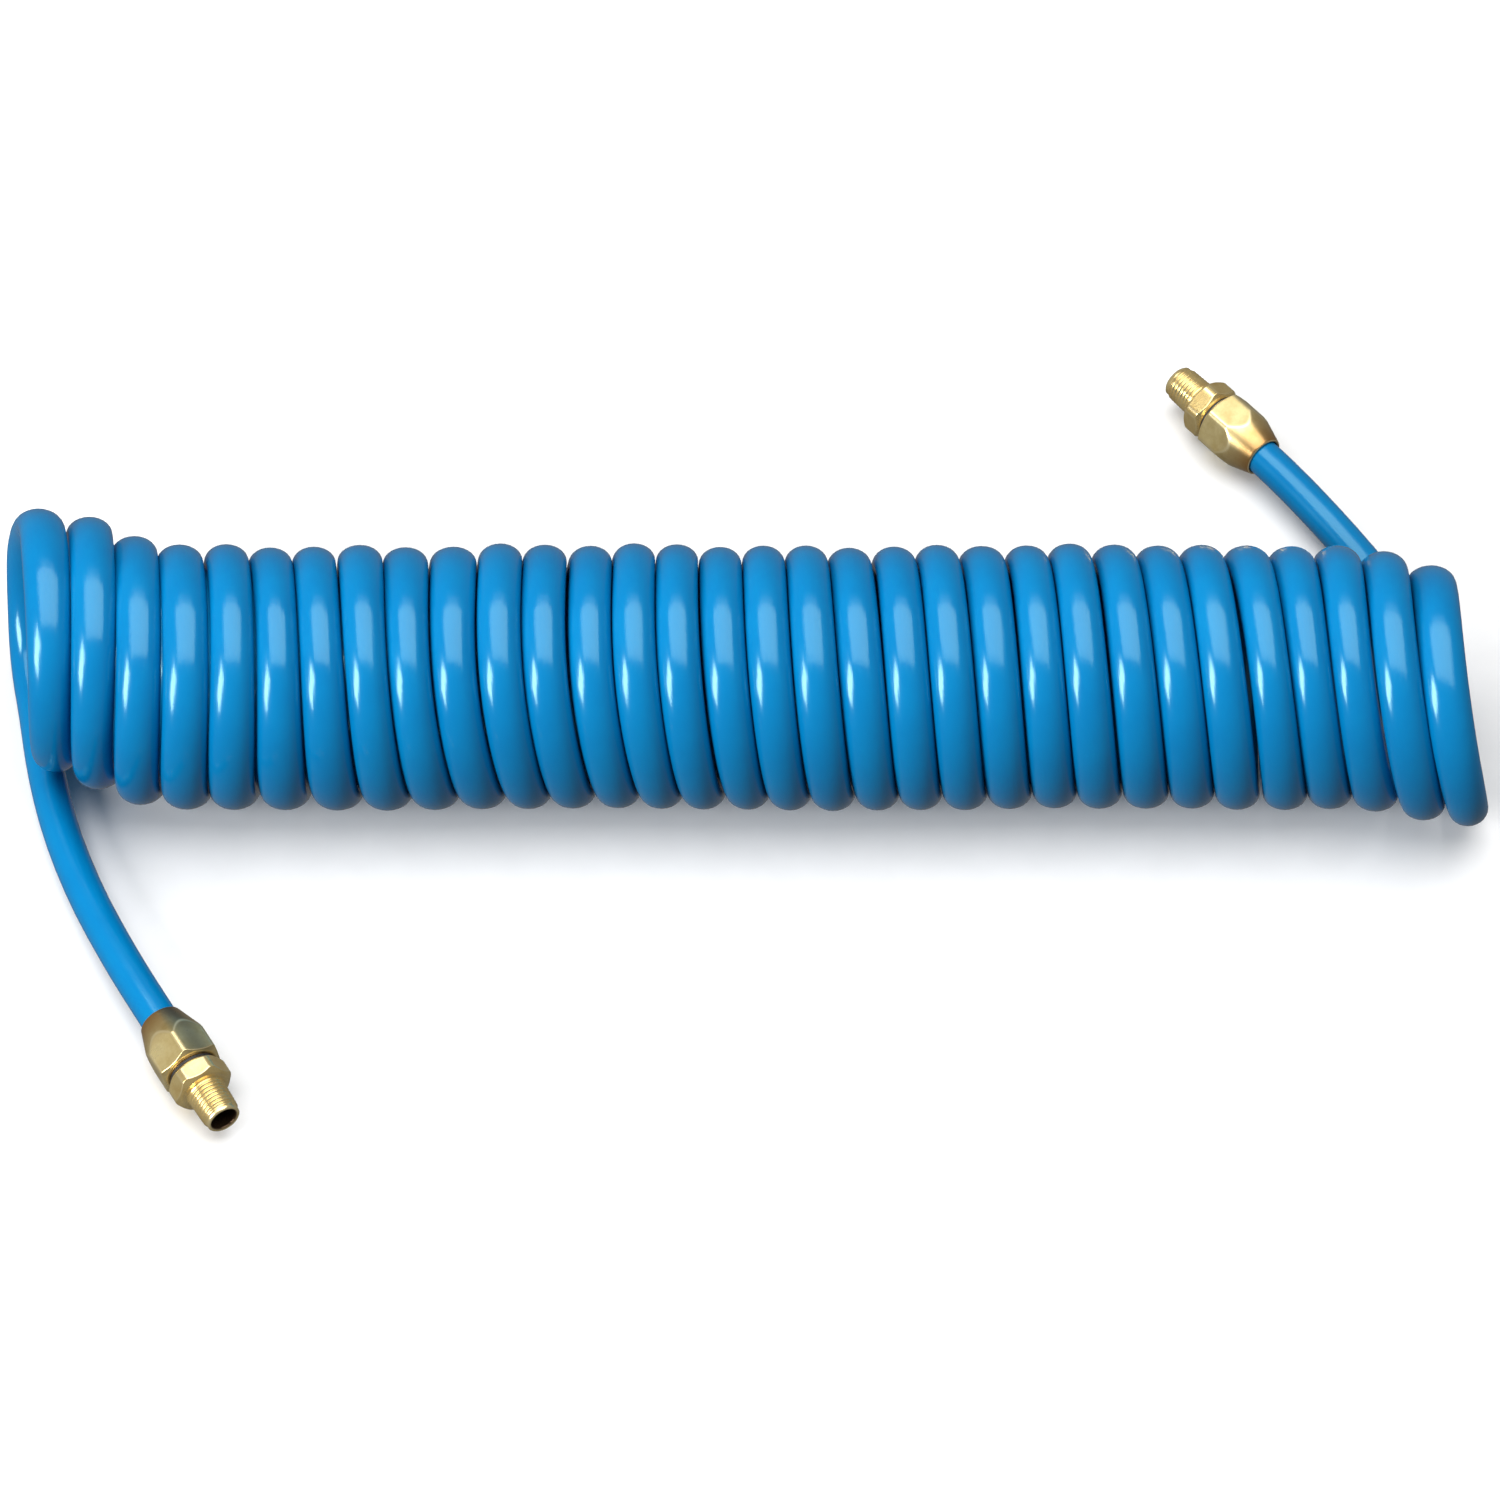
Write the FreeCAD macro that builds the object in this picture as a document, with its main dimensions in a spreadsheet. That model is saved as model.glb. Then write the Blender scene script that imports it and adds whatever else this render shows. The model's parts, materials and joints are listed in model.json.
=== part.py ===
"""Self-coiling air hose with a brass reusable swivel fitting at each end. Millimetres.

+X runs along the coil from the front fitting's end to the rear fitting's end, +Y points away
from the front tail, +Z is up. The hose lies on the plane z = 0, and the origin is under the middle
of its bounding box. Going round a turn, the hose runs under the coil towards +Y, up its back,
over its top and down its front.
"""
import FreeCAD, Part
import math
import os

import Sketcher

Vector = FreeCAD.Vector
Rotation = FreeCAD.Rotation

doc = FreeCAD.newDocument("coiled_air_hose")

# ---------------------------------------------------------------- driving dimensions

DIMENSIONS = [
    # hose
    ("hose_od", 12.7),
    ("hose_bore", 9.5),
    # coil
    ("coil_od", 90.0),
    ("coil_axis_y", -0.34),
    ("coil_start_x", -253.6),
    ("coil_end_x", 253.6),
    ("front_turns_end_x", -188.0),
    ("rear_turns_start_x", 208.0),
    ("front_sweep_back", 16.0),
    ("rear_sweep_forward", 7.4),
    ("stretch_gap", 0.3),
    # nut, measured along the fitting from its mouth
    ("nut_hex", 20.6),
    ("nut_length", 23.0),
    ("nut_mouth_od", 14.8),
    ("nut_corner_od", 23.2),
    ("nut_cone_length", 13.0),
    ("nut_chamfer_length", 1.2),
    ("nut_front_od", 19.6),
    ("nut_mouth_bore", 13.1),
    ("nut_seat_start", 3.4),
    ("nut_seat_step", 0.4),
    ("nut_seat_end", 9.4),
    ("nut_thread_bore", 16.6),
    ("nut_thread_start", 12.0),
    # ferrule
    ("ferrule_length", 7.6),
    ("ferrule_slit", 0.8),
    ("ferrule_gap", 0.05),
    ("ferrule_thin_end", 0.35),
    ("ferrule_thick_end", 1.7),
    # barb body
    ("hose_end", 13.5),
    ("stem_start", 3.0),
    ("stem_bore", 6.6),
    ("barb_height", 0.25),
    ("barb_count", 3),
    ("barb_undercut", 0.1),
    ("stem_shoulder", 1.5),
    ("body_od", 16.4),
    ("body_front", 23.3),
    ("body_chamfer", 0.6),
    ("socket_bore", 10.5),
    ("socket_floor", 15.2),
    ("socket_chamfer", 0.3),
    ("socket_groove_depth", 0.6),
    # swivel parts
    ("washer_thickness", 0.9),
    ("washer_od", 17.0),
    ("washer_clearance", 0.15),
    ("swivel_gap", 0.1),
    ("spigot_od", 10.4),
    ("spigot_start", 15.5),
    ("spigot_chamfer", 0.3),
    ("o_ring_section", 1.34),
    ("o_ring_groove", 1.9),
    ("outer_o_ring_x", 21.6),
    ("inner_o_ring_x", 19.2),
    ("snap_ring_x", 16.7),
    ("snap_ring_wire", 1.1),
    ("snap_groove", 1.5),
    ("snap_groove_depth", 0.7),
    ("snap_ring_gap", 0.02),
    # male connector
    ("collar_hex", 19.05),
    ("collar_corner_od", 20.9),
    ("collar_length", 8.4),
    ("collar_chamfer_length", 1.8),
    ("collar_face_od", 17.0),
    ("barrel_length", 13.3),
    ("thread_major_od", 13.6),
    ("thread_taper", 0.0625),
    ("pilot_od", 11.8),
    ("pilot_length", 2.0),
    ("barrel_bore", 9.2),
    ("barrel_bore_depth", 13.0),
    ("spigot_bore", 6.0),
    ("mouth_chamfer", 0.5),
    # how far a cutting outline runs past the face that it starts from
    ("cut_past", 1.0),
]

sheet = doc.addObject("Spreadsheet::Sheet", "sheet")
for row, (alias, value) in enumerate(DIMENSIONS, start=1):
    sheet.set(f"A{row}", alias)
    sheet.set(f"B{row}", str(value))
    sheet.setAlias(f"B{row}", alias)
doc.recompute()


def size(expression):
    """The value of an expression in the sheet's aliases, each written sheet.alias."""
    return float(sheet.evalExpression(expression.replace("sheet.", "")))


# ------------------------------------------------ routes of the tails, places of the fittings

# Each route is the hose's centre line from its end inside the fitting to the bottom of the coil.
# Its first run lies on the fitting's axis, half the nut's corner diameter above the ground: the
# front nut stands on a corner, and the stiff hose holds the rear one, which is rolled, just clear
# of it. The hose comes down from there to lie on the ground.
NUT_HEIGHT = size("sheet.nut_corner_od / 2")
GROUND = size("sheet.hose_od / 2")

ROUTES = {
    "front": [
        Vector(-188.3, -132.4, NUT_HEIGHT),
        Vector(-197.9, -115.4, NUT_HEIGHT),
        Vector(-209.1, -94.5, 10.4),
        Vector(-222.7, -65.0, 7.4),
        Vector(-233.1, -36.0, GROUND),
        Vector(-239.3, -10.0, GROUND),
        Vector(-242.8, 12.5, GROUND),
    ],
    "rear": [
        Vector(172.8, 134.9, NUT_HEIGHT),
        Vector(185.2, 119.9, NUT_HEIGHT),
        Vector(200.5, 100.0, 10.0),
        Vector(216.5, 78.0, 7.2),
        Vector(231.5, 51.0, GROUND),
        Vector(240.6, 20.5, GROUND),
        Vector(244.2, -10.5, GROUND),
    ],
}

# How far each fitting is rolled from standing exactly on a corner, in degrees, and how far its
# male connector has turned on its swivel beyond that.
ROLL = {"front": 9.0, "rear": 25.0}
SWIVELLED = {"front": 30.0, "rear": -25.0}


def fitting_placement(end, swivelled=0.0):
    """Local +X runs from the nut's mouth to the tip; roll turns the hexagons about it."""
    hose_stop, outside = ROUTES[end][:2]
    along = (hose_stop - outside).normalize()
    mouth = hose_stop - along * size("sheet.hose_end")
    heading = math.degrees(math.atan2(along.y, along.x))
    roll = Rotation(Vector(1, 0, 0), ROLL[end] + swivelled)
    turn = Rotation(Vector(0, 0, 1), heading) * roll
    return FreeCAD.Placement(mouth, turn)


# ---------------------------------------------------------------- helpers for turned and hexagonal bodies


def plane(body, role):
    return next(f for f in body.Origin.OriginFeatures if f.Role == role)


def new_sketch(body, name, role, offset=None):
    """A sketch on one of the body's own origin planes; offset is an expression along the normal."""
    sketch = body.newObject("Sketcher::SketchObject", name)
    sketch.AttachmentSupport = [(plane(body, role), "")]
    sketch.MapMode = "FlatFace"
    if offset:
        sketch.setExpression("AttachmentOffset.Base.z", offset)
    return sketch


def pin_point(sketch, line, end, axis, expression, name):
    """Dimensions one end of a line from the sketch's origin, bound to the sheet."""
    index = sketch.addConstraint(
        Sketcher.Constraint("Distance" + axis, -1, 1, line, end, size(expression))
    )
    sketch.renameConstraint(index, name)
    sketch.setExpression(f".Constraints.{name}", expression)


def add_outline(sketch, points, tag):
    """A closed outline; each point is a pair of expressions, along the axis and out from it."""
    corners = [Vector(size(a), size(r), 0) for a, r in points]
    count = len(corners)
    lines = [
        sketch.addGeometry(Part.LineSegment(corners[i], corners[(i + 1) % count]), False)
        for i in range(count)
    ]
    for i in range(count):
        sketch.addConstraint(
            Sketcher.Constraint("Coincident", lines[i], 2, lines[(i + 1) % count], 1)
        )
    for i, (a, r) in enumerate(points):
        pin_point(sketch, lines[i], 1, "X", a, f"{tag}_axial_{i}")
        pin_point(sketch, lines[i], 1, "Y", r, f"{tag}_radial_{i}")


def turned(body, kind, name, outlines):
    """A Revolution or a Groove of outlines in the XZ plane about the body's X axis."""
    sketch = new_sketch(body, name + "_sketch", "XZ_Plane")
    for number, outline in enumerate(outlines):
        add_outline(sketch, outline, f"outline{number}")
    feature = body.newObject("PartDesign::" + kind, name)
    feature.Profile = sketch
    feature.ReferenceAxis = (sketch, ["H_Axis"])
    feature.Angle = 360.0
    return feature


def hexagon_pad(body, name, across_flats, start, length):
    """A hexagonal bar along the body's X axis, with two corners on its local Z axis."""
    sketch = new_sketch(body, name + "_sketch", "YZ_Plane", start)
    radius = size(f"{across_flats} / 2 / cos(30)")
    corner = [
        Vector(radius * math.cos(math.radians(a)), radius * math.sin(math.radians(a)), 0)
        for a in range(30, 390, 60)
    ]
    circle = sketch.addGeometry(Part.Circle(Vector(0, 0, 0), Vector(0, 0, 1), radius), True)
    sides = [
        sketch.addGeometry(Part.LineSegment(corner[i], corner[(i + 1) % 6]), False)
        for i in range(6)
    ]
    for i in range(6):
        sketch.addConstraint(Sketcher.Constraint("Coincident", sides[i], 2, sides[(i + 1) % 6], 1))
        sketch.addConstraint(Sketcher.Constraint("PointOnObject", sides[i], 1, circle))
    for i in range(1, 6):
        sketch.addConstraint(Sketcher.Constraint("Equal", sides[0], sides[i]))
    sketch.addConstraint(Sketcher.Constraint("Coincident", circle, 3, -1, 1))
    sketch.addConstraint(Sketcher.Constraint("Vertical", sides[5]))
    across = sketch.addConstraint(Sketcher.Constraint("Diameter", circle, 2 * radius))
    sketch.renameConstraint(across, "across_corners")
    sketch.setExpression(".Constraints.across_corners", f"{across_flats} / cos(30)")
    pad = body.newObject("PartDesign::Pad", name)
    pad.Profile = sketch
    pad.setExpression("Length", length)
    return pad


def new_body(label):
    body = doc.addObject("PartDesign::Body", label)
    body.Label = label
    return body


# Outside every hexagon: what a turning tool removes reaches out to here.
CLEAR_RADIUS = "sheet.nut_hex"


# ---------------------------------------------------------------- the pieces of a fitting


def hose_nut(end):
    """Hexagonal compression nut: long cone towards the hose, ferrule seat and thread inside."""
    body = new_body(f"{end}_hose_nut")
    hexagon_pad(body, "hexagon", "sheet.nut_hex", "0", "sheet.nut_length")
    cone = [
        ("0", "sheet.nut_mouth_od / 2"),
        ("sheet.nut_cone_length", "sheet.nut_corner_od / 2"),
        ("sheet.nut_length - sheet.nut_chamfer_length", "sheet.nut_corner_od / 2"),
        ("sheet.nut_length", "sheet.nut_front_od / 2"),
        ("sheet.nut_length + sheet.cut_past", "sheet.nut_front_od / 2"),
        ("sheet.nut_length + sheet.cut_past", CLEAR_RADIUS),
        ("-sheet.cut_past", CLEAR_RADIUS),
        ("-sheet.cut_past", "sheet.nut_mouth_od / 2"),
    ]
    turned(body, "Groove", "outside", [cone])
    bore = [
        ("-sheet.cut_past", "0"),
        ("-sheet.cut_past", "sheet.nut_mouth_bore / 2"),
        ("sheet.nut_seat_start", "sheet.nut_mouth_bore / 2"),
        ("sheet.nut_seat_start", "sheet.nut_mouth_bore / 2 + sheet.nut_seat_step"),
        ("sheet.nut_seat_end", "sheet.nut_thread_bore / 2"),
        ("sheet.nut_thread_start", "sheet.nut_thread_bore / 2"),
        ("sheet.nut_length + sheet.cut_past", "sheet.nut_thread_bore / 2"),
        ("sheet.nut_length + sheet.cut_past", "0"),
    ]
    turned(body, "Groove", "bore", [bore])
    return body


def ferrule(end):
    """Split sleeve between the hose and the nut's seat."""
    body = new_body(f"{end}_ferrule")
    start = "sheet.nut_seat_start + sheet.ferrule_gap"
    inner = "sheet.hose_od / 2 + sheet.ferrule_gap"
    outer_start = f"{inner} + sheet.ferrule_thin_end"
    outer_end = f"{inner} + sheet.ferrule_thick_end"
    sleeve = [
        (start, inner),
        (start, outer_start),
        ("sheet.nut_seat_end", outer_end),
        (f"{start} + sheet.ferrule_length", outer_end),
        (f"{start} + sheet.ferrule_length", inner),
    ]
    turned(body, "Revolution", "sleeve", [sleeve])
    slit = new_sketch(body, "slit_sketch", "XY_Plane")
    add_outline(
        slit,
        [
            ("0", "-sheet.ferrule_slit / 2"),
            ("sheet.nut_length", "-sheet.ferrule_slit / 2"),
            ("sheet.nut_length", "sheet.ferrule_slit / 2"),
            ("0", "sheet.ferrule_slit / 2"),
        ],
        "slit",
    )
    cut = body.newObject("PartDesign::Pocket", "slit")
    cut.Profile = slit
    cut.Reversed = True
    cut.setExpression("Length", CLEAR_RADIUS)
    return body


# Radius of the groove in the socket that holds the outer half of the snap ring.
SOCKET_GROOVE = "(sheet.socket_bore / 2 + sheet.socket_groove_depth)"


def barb_body(end):
    """Barbed stem in the hose, thread under the nut and socket for the swivel."""
    body = new_body(f"{end}_barb_body")
    crest = "sheet.hose_bore / 2 + sheet.barb_height"
    root = "sheet.hose_bore / 2 - sheet.barb_undercut"
    barb_pitch = "(sheet.hose_end - sheet.stem_start - sheet.stem_shoulder) / sheet.barb_count"
    outline = [("sheet.stem_start", "sheet.stem_bore / 2"), ("sheet.stem_start", root)]
    for number in range(int(size("sheet.barb_count"))):
        heel = f"sheet.stem_start + {number + 1} * {barb_pitch}"
        outline.append((heel, crest))
        outline.append((f"{heel} + sheet.barb_undercut", root))
    outline += [
        ("sheet.hose_end", root),
        ("sheet.hose_end", "sheet.body_od / 2 - sheet.body_chamfer"),
        ("sheet.hose_end + sheet.body_chamfer", "sheet.body_od / 2"),
        ("sheet.body_front", "sheet.body_od / 2"),
        ("sheet.body_front", "sheet.socket_bore / 2 + sheet.socket_chamfer"),
        ("sheet.body_front - sheet.socket_chamfer", "sheet.socket_bore / 2"),
        ("sheet.snap_ring_x + sheet.snap_ring_wire / 2", "sheet.socket_bore / 2"),
        ("sheet.snap_ring_x + sheet.snap_ring_wire / 2", SOCKET_GROOVE),
        ("sheet.snap_ring_x - sheet.snap_ring_wire / 2", SOCKET_GROOVE),
        ("sheet.snap_ring_x - sheet.snap_ring_wire / 2", "sheet.socket_bore / 2"),
        ("sheet.socket_floor", "sheet.socket_bore / 2"),
        ("sheet.socket_floor", "sheet.stem_bore / 2"),
    ]
    turned(body, "Revolution", "turning", [outline])
    return body


def thrust_washer(end):
    """Flat ring on the barb body's face, which the collar runs on."""
    body = new_body(f"{end}_thrust_washer")
    hole = "sheet.spigot_od / 2 + sheet.washer_clearance"
    outline = [
        ("sheet.body_front", hole),
        ("sheet.body_front", "sheet.washer_od / 2"),
        ("sheet.body_front + sheet.washer_thickness", "sheet.washer_od / 2"),
        ("sheet.body_front + sheet.washer_thickness", hole),
    ]
    turned(body, "Revolution", "ring", [outline])
    return body


COLLAR_START = "(sheet.body_front + sheet.washer_thickness + sheet.swivel_gap)"
COLLAR_END = f"({COLLAR_START} + sheet.collar_length)"
TIP = f"({COLLAR_END} + sheet.barrel_length)"


def male_connector(end):
    """Spigot, hexagonal collar and tapered pipe-thread barrel with a plain pilot, all in one."""
    body = new_body(f"{end}_male_connector")
    spigot = "sheet.spigot_od / 2"
    o_ring_root = "sheet.spigot_od / 2 - sheet.o_ring_section"
    snap_root = "sheet.spigot_od / 2 - sheet.snap_groove_depth"
    thread_end = f"({TIP} - sheet.pilot_length)"
    thread_length = "(sheet.barrel_length - sheet.pilot_length)"
    outline = [
        ("sheet.spigot_start", "sheet.spigot_bore / 2"),
        ("sheet.spigot_start", f"{spigot} - sheet.spigot_chamfer"),
        ("sheet.spigot_start + sheet.spigot_chamfer", spigot),
    ]
    grooves = [
        ("sheet.snap_ring_x", "sheet.snap_groove", snap_root),
        ("sheet.inner_o_ring_x", "sheet.o_ring_groove", o_ring_root),
        ("sheet.outer_o_ring_x", "sheet.o_ring_groove", o_ring_root),
    ]
    for middle, width, bottom in grooves:
        outline += [
            (f"{middle} - {width} / 2", spigot),
            (f"{middle} - {width} / 2", bottom),
            (f"{middle} + {width} / 2", bottom),
            (f"{middle} + {width} / 2", spigot),
        ]
    outline += [
        (COLLAR_START, spigot),
        (COLLAR_START, "sheet.collar_face_od / 2"),
        (COLLAR_END, "sheet.collar_face_od / 2"),
        (COLLAR_END, "sheet.thread_major_od / 2"),
        (thread_end, f"sheet.thread_major_od / 2 - sheet.thread_taper * {thread_length} / 2"),
        (thread_end, "sheet.pilot_od / 2"),
        (f"{TIP} - sheet.mouth_chamfer", "sheet.pilot_od / 2"),
        (TIP, "sheet.pilot_od / 2 - sheet.mouth_chamfer"),
        (TIP, "sheet.barrel_bore / 2 + sheet.mouth_chamfer"),
        (f"{TIP} - sheet.mouth_chamfer", "sheet.barrel_bore / 2"),
        (f"{TIP} - sheet.barrel_bore_depth", "sheet.barrel_bore / 2"),
        (
            f"{TIP} - sheet.barrel_bore_depth - (sheet.barrel_bore - sheet.spigot_bore) / 2",
            "sheet.spigot_bore / 2",
        ),
    ]
    turned(body, "Revolution", "turning", [outline])
    hexagon_pad(body, "collar", "sheet.collar_hex", COLLAR_START, "sheet.collar_length")
    far = CLEAR_RADIUS
    corner = "sheet.collar_corner_od / 2"
    face = "sheet.collar_face_od / 2"
    chamfer = "sheet.collar_chamfer_length"
    trim = [
        (COLLAR_START, face),
        (f"{COLLAR_START} + {chamfer}", corner),
        (f"{COLLAR_END} - {chamfer}", corner),
        (COLLAR_END, face),
        (COLLAR_END, far),
        (COLLAR_START, far),
    ]
    turned(body, "Groove", "collar_chamfers", [trim])
    # the hexagon's bar fills the spigot's passage, so the passage is cut again
    passage = [
        (f"{COLLAR_START} - sheet.cut_past", "0"),
        (f"{COLLAR_START} - sheet.cut_past", "sheet.spigot_bore / 2"),
        (
            f"{TIP} - sheet.barrel_bore_depth - (sheet.barrel_bore - sheet.spigot_bore) / 2",
            "sheet.spigot_bore / 2",
        ),
        (f"{TIP} - sheet.barrel_bore_depth", "sheet.barrel_bore / 2"),
        (f"{TIP} - sheet.mouth_chamfer", "sheet.barrel_bore / 2"),
        (f"{TIP} - sheet.mouth_chamfer", "0"),
    ]
    turned(body, "Groove", "passage", [passage])
    return body


def ring_on_axis(label, middle, centre_radius, wire_radius):
    """A wire ring about the fitting's axis, as a Part::Torus; middle is its place on the axis."""
    ring = doc.addObject("Part::Torus", label)
    ring.Label = label
    ring.setExpression("Radius1", centre_radius)
    ring.setExpression("Radius2", wire_radius)
    return ring, size(middle)


def place_ring(ring, middle, end):
    """Turns the torus's own Z axis on to the fitting's X axis and slides it to its groove."""
    local = FreeCAD.Placement(Vector(middle, 0, 0), Rotation(Vector(0, 1, 0), 90))
    ring.Placement = fitting_placement(end).multiply(local)


def make_fitting(end):
    """All eight pieces of one fitting, in place."""
    makers = (hose_nut, ferrule, barb_body, thrust_washer, male_connector)
    bodies = [make(end) for make in makers]
    for body in bodies:
        body.Placement = fitting_placement(end)
    bodies[-1].Placement = fitting_placement(end, SWIVELLED[end])
    seal_radius = "(sheet.spigot_od - sheet.o_ring_section) / 2"
    seal_wire = "sheet.o_ring_section / 2"
    snap_wire = "sheet.snap_ring_wire / 2 - sheet.snap_ring_gap"
    snap_radius = f"{SOCKET_GROOVE} - sheet.snap_ring_wire / 2 - sheet.snap_ring_gap"
    rings = []
    for name, middle, centre, wire in (
        ("inner_o_ring", "sheet.inner_o_ring_x", seal_radius, seal_wire),
        ("outer_o_ring", "sheet.outer_o_ring_x", seal_radius, seal_wire),
        ("snap_ring", "sheet.snap_ring_x", snap_radius, snap_wire),
    ):
        ring, at = ring_on_axis(f"{end}_{name}", middle, centre, wire)
        place_ring(ring, at, end)
        rings.append(ring)
    return bodies + rings


# ---------------------------------------------------------------- the tails of the hose

ARC_SHARE = 0.45  # of the shorter run beside a corner, taken up by its arc


def corner_arc(before, corner, after):
    """The arc that rounds one corner of a route: its two ends, its middle and its radius."""
    back = before - corner
    ahead = after - corner
    cut = ARC_SHARE * min(back.Length, ahead.Length)
    back.normalize()
    ahead.normalize()
    turn = math.pi - back.getAngle(ahead)
    radius = cut / math.tan(turn / 2)
    bisector = (back + ahead).normalize()
    reach = radius / math.cos(turn / 2) - radius
    return corner + back * cut, corner + bisector * reach, corner + ahead * cut, radius


def rounded_wire(points, name):
    """Straight runs joined by tangent arcs."""
    edges = []
    start = points[0]
    radii = []
    for before, corner, after in zip(points, points[1:], points[2:]):
        first, middle, last, radius = corner_arc(before, corner, after)
        edges.append(Part.LineSegment(start, first).toShape())
        edges.append(Part.Arc(first, middle, last).toShape())
        radii.append(round(radius))
        start = last
    edges.append(Part.LineSegment(start, points[-1]).toShape())
    print(name, "bend radii", radii)
    return Part.Wire(edges)


def swept_disc(path, radius):
    """A round bar along a path."""
    start = path.Edges[0].Vertexes[0].Point
    direction = path.Edges[0].tangentAt(path.Edges[0].FirstParameter)
    disc = Part.Wire(Part.Circle(start, direction, radius).toShape())
    return path.makePipeShell([disc], True, False)


def hose_tail(end):
    """The straight stretch of hose between a fitting and the coil."""
    tail = doc.addObject("Part::Feature", f"{end}_tail")
    tail.Label = f"{end}_tail"
    path = rounded_wire(ROUTES[end], tail.Label)
    outer = swept_disc(path, size("sheet.hose_od / 2"))
    inner = swept_disc(path, size("sheet.hose_bore / 2"))
    tail.Shape = outer.cut(inner)
    tail.Placement = FreeCAD.Placement()
    section = math.pi * (size("sheet.hose_od") ** 2 - size("sheet.hose_bore") ** 2) / 4
    print(
        f"{tail.Label} length {path.Length:.1f} volume {tail.Shape.Volume:.0f}",
        f"section times length {section * path.Length:.0f}",
    )
    return tail


# ---------------------------------------------------------------- the coil


def coil_circle(name, axial, sideways, diameter):
    """A circle across the coil's axis."""
    circle = doc.addObject("Part::Circle", name)
    circle.setExpression("Radius", f"{diameter} / 2")
    circle.Placement.Rotation = Rotation(Vector(0, 1, 0), 90)
    circle.setExpression("Placement.Base.x", axial)
    circle.setExpression("Placement.Base.y", f"sheet.coil_axis_y + {sideways}")
    circle.setExpression("Placement.Base.z", "sheet.coil_od / 2")
    return circle


def fat_tube(label, stations):
    """The outer shape of some turns: a hollow tube through circles at (axial, sideways) stations."""
    walls = []
    for side, diameter in (
        ("outer", "sheet.coil_od"),
        ("inner", "(sheet.coil_od - 2 * sheet.hose_od)"),
    ):
        loft = doc.addObject("Part::Loft", f"{label}_{side}")
        loft.Sections = [
            coil_circle(f"{label}_{side}_{number}", axial, sideways, diameter)
            for number, (axial, sideways) in enumerate(stations)
        ]
        loft.Solid = True
        loft.Ruled = len(stations) == 2
        walls.append(loft)
    tube = doc.addObject("Part::Cut", label)
    tube.Label = label
    tube.Base = walls[0]
    tube.Tool = walls[1]
    return tube


# Shares of an end's whole sweep, from its left face to its right face, at even steps.
FRONT_SHARES = (1, 0.72, 0.22, 0)
REAR_SHARES = (0, 0.25, 1)


def swept_stations(start, stop, sweep, shares):
    """Stations of a fat tube from start to stop that curves sideways by its shares of sweep."""
    steps = len(shares) - 1
    return [
        (f"{start} + ({stop} - {start}) * {number} / {steps}", f"{sweep} * {share}")
        for number, share in enumerate(shares)
    ]


def coil_pieces():
    """The swept-back front turns, the straight middle and the rear turns."""
    front = fat_tube(
        "front_turns",
        swept_stations(
            "sheet.coil_start_x", "sheet.front_turns_end_x", "sheet.front_sweep_back", FRONT_SHARES
        ),
    )
    middle = fat_tube(
        "coil",
        [
            ("sheet.front_turns_end_x", "0"),
            ("sheet.rear_turns_start_x - sheet.stretch_gap", "0"),
        ],
    )
    rear = fat_tube(
        "rear_turns",
        swept_stations(
            "sheet.rear_turns_start_x", "sheet.coil_end_x", "-sheet.rear_sweep_forward", REAR_SHARES
        ),
    )
    return [front, middle, rear]


# ---------------------------------------------------------------- build, check, write

pieces = []
for which_end in ROUTES:
    pieces += make_fitting(which_end)
    pieces.append(hose_tail(which_end))
pieces += coil_pieces()
doc.recompute()

for item in doc.Objects:
    bad = {"Invalid", "Error"} & set(item.State)
    if bad:
        raise RuntimeError(f"{item.Label} is {bad}")

for piece in pieces:
    if piece.Shape.isNull() or not piece.Shape.isValid() or len(piece.Shape.Solids) != 1:
        raise RuntimeError(f"{piece.Label} is not one valid solid")

os.makedirs("parts", exist_ok=True)
box = FreeCAD.BoundBox()
for piece in pieces:
    piece.Shape.exportStep(f"parts/{piece.Label}.step")
    box.add(piece.Shape.BoundBox)
    print(f"{piece.Label:24s} volume {piece.Shape.Volume:10.1f}")
print(
    f"box x {box.XMin:.2f} {box.XMax:.2f}  y {box.YMin:.2f} {box.YMax:.2f}",
    f" z {box.ZMin:.2f} {box.ZMax:.2f}",
)
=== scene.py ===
"""Looks of the coiled air hose: one glossy blue hose wound from end to end, and two brass swivel
fittings with turned hexagons and cut pipe threads. Metres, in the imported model's frame."""

import json
import math

import bpy
import numpy as np
from mathutils import Matrix, Vector


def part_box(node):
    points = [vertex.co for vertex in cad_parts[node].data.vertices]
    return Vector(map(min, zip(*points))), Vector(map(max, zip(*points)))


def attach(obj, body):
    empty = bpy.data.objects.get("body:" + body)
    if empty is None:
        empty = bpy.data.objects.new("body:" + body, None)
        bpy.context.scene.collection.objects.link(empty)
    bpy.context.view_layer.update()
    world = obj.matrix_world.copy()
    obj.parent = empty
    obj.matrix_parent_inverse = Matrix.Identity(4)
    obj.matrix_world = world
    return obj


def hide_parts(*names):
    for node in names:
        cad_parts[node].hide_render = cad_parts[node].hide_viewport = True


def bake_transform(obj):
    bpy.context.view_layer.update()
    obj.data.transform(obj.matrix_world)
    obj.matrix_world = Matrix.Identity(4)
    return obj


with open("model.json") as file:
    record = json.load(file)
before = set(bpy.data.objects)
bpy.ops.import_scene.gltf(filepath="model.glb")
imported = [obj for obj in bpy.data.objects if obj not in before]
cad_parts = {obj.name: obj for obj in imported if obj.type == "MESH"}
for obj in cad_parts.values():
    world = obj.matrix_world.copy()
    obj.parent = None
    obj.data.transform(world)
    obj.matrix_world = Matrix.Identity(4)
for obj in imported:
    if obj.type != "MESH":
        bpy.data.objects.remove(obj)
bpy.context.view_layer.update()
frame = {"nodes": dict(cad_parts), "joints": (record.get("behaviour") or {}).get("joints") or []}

MM = 0.001
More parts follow.
